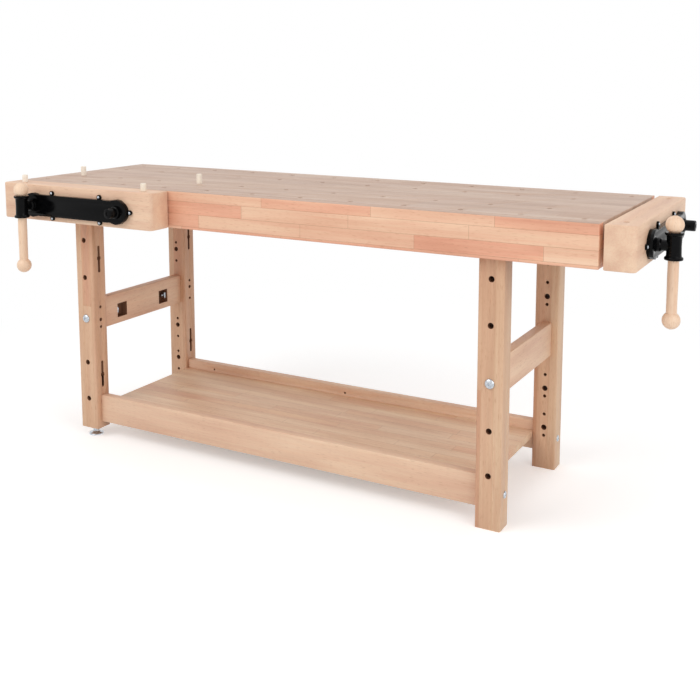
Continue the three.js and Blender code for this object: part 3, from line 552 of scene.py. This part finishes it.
def combine(piece, tool, operation):
    """Cuts a tool from a piece or adds it, and uses the tool up."""
    only(piece)
    step = piece.modifiers.new("combine", "BOOLEAN")
    step.object = tool
    step.operation = operation
    step.solver = "EXACT"
    bpy.ops.object.modifier_apply(modifier=step.name)
    bpy.data.objects.remove(tool)


# %% [markdown]
# The legs, the slab and the jaws have many drilled holes, whose places needn't be written down again:
# they are found on the mesh. A hole is a group of faces that share corners and lie well inside the
# piece's box. It is a drilled one if its walls stand round an axis.

# %% Finding holes
INSIDE = 0.0046
FLAT = 0.1
FEWEST_WALLS = 6


def depth_inside(point, low, high):
    return min(min(point[i] - low[i], high[i] - point[i]) for i in range(3))


def hole_groups(piece, low, high):
    """The walls and floors of holes, as groups of faces that share corners."""
    groups = []
    for face in piece.data.polygons:
        if depth_inside(face.center, low, high) < INSIDE:
            continue
        corners, faces = set(face.vertices), [face]
        for group in [g for g in groups if g[0] & corners]:
            corners |= group[0]
            faces += group[1]
            groups.remove(group)
        groups.append((corners, faces))
    return groups


def stands_round(faces, axis):
    """Whether faces are the walls of a hole along an axis, with or without a floor."""
    walls = [face for face in faces if abs(face.normal[axis]) < FLAT]
    floors = [face for face in faces if abs(face.normal[axis]) > 1.0 - FLAT]
    return len(walls) >= FEWEST_WALLS and len(walls) + len(floors) == len(faces)


# %% [markdown]
# A drill leaves a round hole, and in the solids the holes have flat facets. So each drilled hole gets a
# cutter with more sides and a hair wider. It runs out past an open end, and goes a trace deeper than the
# floor of a blind hole. All the cutters of a piece are joined, because one cut is much faster than many.

# %% Round holes
EVEN = 0.04
WIDER = 1.004
RUN_OUT = 0.001
DEEPER = 0.0001


def round_cutters(piece, low, high):
    """One round cutter for every hole whose walls stand evenly round an axis."""
    cutters = []
    for corners, faces in hole_groups(piece, low, high):
        points = [piece.data.vertices[i].co.copy() for i in corners]
        for axis in [i for i in range(3) if stands_round(faces, i)]:
            middle = sum(points, Vector()) / len(points)
            across = [i for i in range(3) if i != axis]
            radii = [math.hypot(*(point[i] - middle[i] for i in across)) for point in points]
            if max(radii) - min(radii) > EVEN * max(radii):
                continue
            start = min(point[axis] for point in points)
            end = max(point[axis] for point in points)
            start -= RUN_OUT if start - low[axis] < RUN_OUT else DEEPER
            end += RUN_OUT if high[axis] - end < RUN_OUT else DEEPER
            middle[axis] = (start + end) / 2
            cutters.append(cylinder(max(radii) * WIDER, end - start, middle, axis))
    return cutters


def round_bores(piece, node):
    """Drills the faceted holes of a solid's copy round, all in one cut."""
    cutters = round_cutters(piece, *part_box(node))
    bpy.ops.object.select_all(action="DESELECT")
    for cutter in cutters:
        cutter.select_set(True)
    bpy.context.view_layer.objects.active = cutters[0]
    bpy.ops.object.join()
    bpy.ops.object.transform_apply(location=True, rotation=True)
    combine(piece, bpy.context.object, "DIFFERENCE")
    print("round holes in", node + ":", len(cutters))


# %% [markdown]
# The shelf rails have three small screw holes in their inner faces. A dark spot could be painted on, but
# a real hole takes light and shadow by itself, so a short cylinder is cut from the rail at each place.

# %% Rail holes
RAIL_HOLES = (-0.56, 0.0, 0.56)
RAIL_HOLE_R = 0.0035
RAIL_HOLE_DEPTH = 0.012
RAIL_HOLE_HEIGHT = 0.123


def pilot_holes(piece, node):
    low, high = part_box(node)
    inner = high[1] if node.startswith("front") else low[1]
    middle = (low[0] + high[0]) / 2
    for along in RAIL_HOLES:
        place = (middle + along, inner, RAIL_HOLE_HEIGHT)
        drill = cylinder(RAIL_HOLE_R, 2 * RAIL_HOLE_DEPTH, place, AXES["y"])
        bpy.ops.object.transform_apply(location=True, rotation=True)
        combine(piece, drill, "DIFFERENCE")
    print("screw holes in", node + ":", len(RAIL_HOLES))


# %% [markdown]
# A planed board has its sharp edges taken off, and a casting has soft ones. A bevel modifier does that
# on every edge sharper than a given angle, and the narrow new faces catch the light. Bevelling by hand
# would need each edge to be picked.

# %% Eased edges
SHARP = math.radians(38.0)
EASE_STEPS = 2
WOOD_EASE = 0.0012
METAL_EASE = 0.0009


def ease(piece, width):
    only(piece)
    bevel = piece.modifiers.new("eased_edges", "BEVEL")
    bevel.width = width
    bevel.segments = EASE_STEPS
    bevel.limit_method = "ANGLE"
    bevel.angle_limit = SHARP
    bevel.use_clamp_overlap = True
    bpy.ops.object.modifier_apply(modifier=bevel.name)
    bpy.ops.object.shade_smooth_by_angle(angle=SHARP)


# %% [markdown]
# Some pieces show two colours. The walls of holes, slots and pockets get painted shade, a colour darker
# than the planed faces, and the aprons' upward faces get the top's greyer colours, which hold a painted
# grey sheen and shade. A second material on chosen faces does this without cutting the piece.

# %% Painted shade and sheen
UPWARD = 0.6


def paint(piece, look, faces):
    piece.data.materials.append(look)
    for face in faces:
        face.material_index = len(piece.data.materials) - 1


# Gives the faces deep inside a piece, the walls of holes, slots and pockets, a dark colour as painted
# shade.
def paint_hole_shade(piece, node):
    low, high = (Vector(corner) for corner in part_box(node))
    inner = [face for face in piece.data.polygons if depth_inside(face.center, low, high) > INSIDE]
    paint(piece, wood["hole_shade"], inner)


# Gives upward faces the top's greyer colours, a painted grey sheen and shade.
def paint_upward_sheen(piece):
    upper = [face for face in piece.data.polygons if face.normal.z > UPWARD]
    paint(piece, wood["slab"], upper)


# %% [markdown]
# Now every piece that isn't turned goes through the same steps: copied, drilled where it has holes,
# eased, dressed, and given painted shade in its holes or a painted grey sheen on its upward faces.

# %% Eased pieces
ROUND_BORED = ("_leg", "top_slab", "_jaw")
# Pieces whose holes, slots and pockets get painted shade.
HOLE_SHADE_PARTS = ("_leg", "_stretcher", "_rail")
TURNED = ("handle", "handle_ball", "_hub", "_dog_1", "_dog_2", "_foot", "_bolt", "_screw")

eased_nodes = [node for node in nodes if not node.endswith(TURNED)]
for node in eased_nodes:
    piece = copy_of(node)
    if node.endswith(ROUND_BORED):
        round_bores(piece, node)
    if node.endswith("_rail"):
        pilot_holes(piece, node)
    ease(piece, METAL_EASE if slot_of[node] in metal else WOOD_EASE)
    dress(piece, node)
    # Painted shade on the walls of holes, slots and pockets.
    if node.endswith(HOLE_SHADE_PARTS):
        paint_hole_shade(piece, node)
    # Painted grey sheen and shade on the aprons' upward faces.
    if node.endswith("apron"):
        paint_upward_sheen(piece)
print("eased pieces:", len(eased_nodes))

# %% [markdown]
# Handles, hubs, dogs, bolts and feet are turned pieces. A Screw modifier on a drawn outline could make
# them. Here each starts as a disc that is extruded ring by ring and scaled to the next radius, because
# that follows a lathe profile point by point. Profiles are (radius, height) in millimetres.

# %% Turning
MM = 0.001
ROUND_STEPS = 48
POLE_R = 0.00005
BALL_STEPS = 14


def turned(name, profile):
    """A turned shape standing on Z, from the points of its profile, from the bottom up."""
    rings = [(max(r * MM, POLE_R), h * MM) for r, h in profile]
    radius, height = rings[0]
    bpy.ops.object.select_all(action="DESELECT")
    bpy.ops.mesh.primitive_circle_add(
        vertices=ROUND_STEPS, radius=radius, fill_type="NGON", location=(0.0, 0.0, height)
    )
    piece = bpy.context.object
    piece.name = name
    bpy.ops.object.transform_apply(location=True)
    bpy.ops.object.mode_set(mode="EDIT")
    bpy.ops.mesh.select_all(action="SELECT")
    for next_radius, next_height in rings[1:]:
        rise = (0.0, 0.0, next_height - height)
        bpy.ops.mesh.extrude_region_move(TRANSFORM_OT_translate={"value": rise})
        grow = next_radius / radius
        bpy.ops.transform.resize(value=(grow, grow, 1.0), center_override=(0.0, 0.0, next_height))
        radius, height = next_radius, next_height
    bpy.ops.mesh.select_all(action="SELECT")
    bpy.ops.mesh.remove_doubles(threshold=MERGE)
    bpy.ops.mesh.normals_make_consistent(inside=False)
    bpy.ops.object.mode_set(mode="OBJECT")
    bpy.ops.object.shade_smooth_by_angle(angle=SHARP)
    return piece


def ball(radius, middle, low, high):
    """Points of a ball between two heights given as shares of its radius."""
    first, last = math.asin(low), math.asin(high)
    angles = [first + (last - first) * i / BALL_STEPS for i in range(BALL_STEPS + 1)]
    return [(radius * math.cos(a), middle + radius * math.sin(a)) for a in angles]


# %% [markdown]
# A turned piece is made upright at the origin and then put in its place. The place goes into the mesh,
# so that the object itself stays at the origin as the solids do.

# %% Placing
STAND = Matrix.Identity(4)
OUT_FRONT = Matrix.Rotation(math.pi / 2, 4, "X")
OUT_BACK = Matrix.Rotation(-math.pi / 2, 4, "X")
OUT_RIGHT = Matrix.Rotation(math.pi / 2, 4, "Y")
OUT_LEFT = Matrix.Rotation(-math.pi / 2, 4, "Y")


def middle_of(node):
    low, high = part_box(node)
    return (Vector(low) + Vector(high)) / 2


def under(node):
    """The point of the floor under a node's middle."""
    place = middle_of(node)
    place.z = 0.0
    return place


def put(piece, turn, place):
    piece.data.transform(Matrix.Translation(place) @ turn)
    piece.data.update()
    return piece


# %% [markdown]
# The handle is one turned rod with a ball at its lower end, and it swells a little in the middle. The
# upper ball is glued on after the rod is put through the sleeve. The heights are read from the solids'
# boxes.

# %% Handles
BALL_R = 23.0
ROD_R = 13.5
ROD_MEETS_BALL = math.sqrt(BALL_R**2 - ROD_R**2) / BALL_R
SWELL = 0.5
SWELL_FROM = 60.0
SWELL_AT = 110.0
GLUE_GAP = 0.3

for vise in ("front_vise", "end_vise"):
    handle, upper_ball = vise + "_handle", vise + "_handle_ball"
    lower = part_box(handle)[0][2] / MM + BALL_R
    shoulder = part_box(upper_ball)[0][2] / MM
    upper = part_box(upper_ball)[1][2] / MM - BALL_R
    rod_profile = ball(BALL_R, lower, -1.0, ROD_MEETS_BALL)
    rod_profile += [(ROD_R, lower + SWELL_FROM), (ROD_R + SWELL, lower + SWELL_AT)]
    rod_profile += [(ROD_R, shoulder - GLUE_GAP)]
    rod = turned(vise + "_handle_rod", rod_profile)
    dress(put(rod, STAND, under(handle)), handle)
    knob = turned(vise + "_handle_knob", ball(BALL_R, upper, -ROD_MEETS_BALL, 1.0))
    dress(put(knob, STAND, under(handle)), upper_ball)
    print(vise, "handle from", round(lower - BALL_R, 1), "to", round(upper + BALL_R, 1), "mm")

# %% [markdown]
# The T hub is a casting: a collar with a grooved rim on the screw, a neck, and an upright sleeve with a
# bead at each end. Two turned pieces are joined by a boolean, which gives the sharp line where neck and
# sleeve meet, and a third bores the sleeve for the handle.

# %% T hubs
SLEEVE_REACH = 60.0
COLLAR_R = 17.9
HUB_START = 13.0
NECK_PROFILE = [
    (COLLAR_R, HUB_START), (COLLAR_R, 18.5), (16.9, 19.2), (16.9, 20.4), (COLLAR_R, 21.2), (COLLAR_R, 27.0),
    (16.6, 28.6), (14.6, 30.5), (14.3, 38.0), (14.8, 46.0), (14.8, 58.0),
]
HALF_SLEEVE = [
    (18.4, 0.0), (19.0, 23.0), (19.6, 26.5), (22.3, 28.2), (23.4, 29.5), (23.4, 34.0), (22.3, 35.0),
]
SLEEVE_PROFILE = [(radius, -height) for radius, height in reversed(HALF_SLEEVE[1:])] + HALF_SLEEVE
HANDLE_BORE = [(13.9, -60.0), (13.9, 60.0)]
OUT_TURN = {"front_vise": OUT_FRONT, "end_vise": OUT_RIGHT}
OUTWARD = {"front_vise": Vector((0.0, -1.0, 0.0)), "end_vise": Vector((1.0, 0.0, 0.0))}


def on_jaw(vise, place):
    """The point of the jaw's outer face that lies straight out from a place."""
    low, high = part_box(vise + "_jaw")
    if vise == "front_vise":
        return Vector((place.x, low[1], place.z))
    return Vector((high[0], place.y, place.z))


def tee_hub(vise):
    face = on_jaw(vise, middle_of(vise + "_drive_screw"))
    sleeve_at = face + OUTWARD[vise] * SLEEVE_REACH * MM
    hub = put(turned(vise + "_drive_hub", NECK_PROFILE), OUT_TURN[vise], face)
    combine(hub, put(turned("sleeve", SLEEVE_PROFILE), STAND, sleeve_at), "UNION")
    combine(hub, put(turned("bore", HANDLE_BORE), STAND, sleeve_at), "DIFFERENCE")
    only(hub)
    bpy.ops.object.shade_smooth_by_angle(angle=SHARP)
    dress(hub, vise + "_tee_hub")


# %% [markdown]
# The second screw of each vise ends in a stub: a collar, a barrel, a small groove and a shallow recess
# in its end. All of it is round, so one profile is enough.

# %% Hubs and stubs
STUB_PROFILE = [
    (COLLAR_R, HUB_START), (COLLAR_R, 16.2), (18.9, 16.4), (18.9, 21.0), (18.0, 22.0), (15.6, 23.6),
    (15.3, 26.0), (15.3, 45.5), (14.6, 47.0), (14.6, 47.8), (15.2, 48.2), (15.2, 48.8), (13.6, 50.0),
    (6.0, 50.0), (5.2, 48.0), (0.0, 48.0),
]

for vise, turn in OUT_TURN.items():
    tee_hub(vise)
    stub = turned(vise + "_end_cap", STUB_PROFILE)
    dress(put(stub, turn, on_jaw(vise, middle_of(vise + "_idler_screw"))), vise + "_stub_hub")
print("hubs and stubs:", 2 * len(OUT_TURN))

# %% [markdown]
# Each vise screw is turned with a ridge for every turn of its thread, a collar just inside the jaw's
# inner face and a disc under the cover. A true helix would need more faces, and at this size the ridges
# look the same.

# %% Screws
THREAD_PITCH = 6.0
THREAD_CREST = 12.4
THREAD_ROOT = 10.6
RIDGE = [(THREAD_CREST, 1.0), (THREAD_CREST, 3.0), (THREAD_ROOT, 4.0), (THREAD_ROOT, THREAD_PITCH)]
JAW_THICK = 79.0
COLLAR_FROM = 0.3 - JAW_THICK
COLLAR_TO = 6.3 - JAW_THICK
COLLAR = [
    (THREAD_ROOT, COLLAR_FROM), (COLLAR_R, COLLAR_FROM), (COLLAR_R, COLLAR_TO), (THREAD_CREST, COLLAR_TO),
]
DISC_R = 23.8
DISC = [(THREAD_CREST, 3.2), (DISC_R, 3.2), (DISC_R, 9.2), (THREAD_CREST, 9.2), (THREAD_CREST, 12.5)]
SPIGOT = [(8.9, 12.5), (8.9, 44.0)]


def thread(reach):
    """The threaded length, from the screw's inner end to the jaw's inner face."""
    points = [(THREAD_ROOT, -reach)]
    for i in range(int((reach - JAW_THICK) / THREAD_PITCH)):
        start = i * THREAD_PITCH - reach
        points += [(radius, start + height) for radius, height in RIDGE]
    return points


for vise, turn in OUT_TURN.items():
    for node in (vise + "_drive_screw", vise + "_idler_screw"):
        low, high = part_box(node)
        place = on_jaw(vise, middle_of(node))
        reach = (high[1] - place.y if vise == "front_vise" else place.x - low[0]) / MM
        screw = turned(node + "_turned", thread(reach) + COLLAR + DISC + SPIGOT)
        dress(put(screw, turn, place), node)
        print(node, "reaches", round(reach, 1), "mm behind the jaw's face")

# %% [markdown]
# A bench dog is a pale dowel with a wider head that rests on the wood, and its edges are rounded over. A
# levelling foot is a round plate on a stud that goes up into the leg. Both stand upright, so one function
# turns them from their profiles.

# %% Profiles of dogs and feet
DOG_STEM = 42.3
DOG_STEM_R = 7.5
DOG_HEAD_R = 9.0
DOG_CHAMFER = 1.4
FOOT_PROFILE = [
    (22.8, 0.0), (24.0, 1.0), (24.0, 4.0), (23.0, 5.2), (15.0, 7.6), (10.6, 11.5), (10.5, 14.0),
    (9.4, 15.0), (10.5, 16.0), (10.5, 28.6), (9.6, 29.6), (5.0, 29.7), (5.0, 74.0), (4.0, 75.0),
    (0.0, 75.0),
]


def dog_profile(node):
    low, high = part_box(node)
    bottom, top = low[2] / MM, high[2] / MM
    seat = bottom + DOG_STEM
    stem = [(DOG_STEM_R - DOG_CHAMFER, bottom), (DOG_STEM_R, bottom + DOG_CHAMFER), (DOG_STEM_R, seat)]
    head = [(DOG_HEAD_R, seat), (DOG_HEAD_R, top - 2.0), (8.5, top - 0.8), (7.4, top), (0.0, top)]
    return stem + head


def turn_upright(node, profile):
    dress(put(turned(node + "_turned", profile), STAND, under(node)), node)


# %% [markdown]
# The bolts have a domed zinc head with a round socket. Those of the stretchers go in from the front and the
# back, those of the rails from the left and the right. One function turns both kinds, with the sizes
# and the dome of each.

# %% Turning a bolt
SEAT = 0.3
STRETCHER_BOLT = {
    "head": 6.0,
    "shank_r": 5.0,
    "chamfer": 0.6,
    "dome": [
        (14.0, SEAT), (14.0, 1.3), (13.2, 2.9), (11.0, 4.5), (7.6, 5.6), (4.2, 6.0), (3.9, 3.0), (0.0, 3.0),
    ],
}
RAIL_BOLT = {
    "head": 4.0,
    "shank_r": 4.0,
    "chamfer": 0.5,
    "dome": [(10.0, SEAT), (10.0, 1.0), (9.2, 2.2), (7.0, 3.4), (3.4, 4.0), (3.1, 1.8), (0.0, 1.8)],
}


def turn_bolt(node, kind, axis, from_low, turn):
    low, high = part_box(node)
    place = middle_of(node)
    place[axis] = low[axis] + kind["head"] * MM if from_low else high[axis] - kind["head"] * MM
    reach = (high[axis] - low[axis]) / MM - kind["head"]
    radius, chamfer = kind["shank_r"], kind["chamfer"]
    shank = [(radius - chamfer, -reach), (radius, chamfer - reach), (radius, SEAT)]
    dress(put(turned(node + "_turned", shank + kind["dome"]), turn, place), node)


# %% [markdown]
# A node's name tells which of the small pieces it is and which way it points, so one walk over the nodes
# makes them all in their places.

# %% Dogs, feet and bolts
for node in nodes:
    if "_dog_" in node:
        turn_upright(node, dog_profile(node))
    elif node.endswith("_foot"):
        turn_upright(node, FOOT_PROFILE)
    elif node.endswith("_stretcher_bolt"):
        front = "_front_" in node
        turn_bolt(node, STRETCHER_BOLT, AXES["y"], front, OUT_FRONT if front else OUT_BACK)
    elif node.endswith("_rail_bolt"):
        left = node.startswith("left")
        turn_bolt(node, RAIL_BOLT, AXES["x"], left, OUT_LEFT if left else OUT_RIGHT)
print("bolts:", sum(node.endswith("_bolt") for node in nodes))
print("dogs and feet:", sum("_dog_" in node or node.endswith("_foot") for node in nodes))

# %% [markdown]
# Each lug of the chain covers holds a small bright pan-head screw. One head is turned and then copied,
# each copy with its own mesh, onto the lugs' faces round the middle of the cover.

# %% Cover screws
LUG_FACE = 6.0
LUG_PLACES = [(-100, 40), (100, 40), (-100, -40), (100, -40), (-223, 0), (223, 0)]
PAN_HEAD = [(4.3, 0.0), (4.3, 0.8), (3.8, 1.7), (2.6, 2.3), (1.3, 2.5), (1.2, 1.4), (0.0, 1.4)]
SIDEWAYS = {"front_vise": Vector((1.0, 0.0, 0.0)), "end_vise": Vector((0.0, 1.0, 0.0))}
UP = Vector((0.0, 0.0, 1.0))

pan_head = turned("pan_head", PAN_HEAD)
for vise, turn in OUT_TURN.items():
    cover_face = on_jaw(vise, middle_of(vise + "_chain_cover")) + OUTWARD[vise] * LUG_FACE * MM
    for i, (along, up) in enumerate(LUG_PLACES):
        head = bpy.data.objects.new(f"{vise}_cover_screw_{i + 1}", pan_head.data.copy())
        bpy.context.scene.collection.objects.link(head)
        put(head, turn, cover_face + SIDEWAYS[vise] * along * MM + UP * up * MM)
        head.data.materials.append(metal["zinc"])
        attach(head, vise + "_jaw_body")
bpy.data.objects.remove(pan_head)
print("cover screws:", len(OUT_TURN) * len(LUG_PLACES))
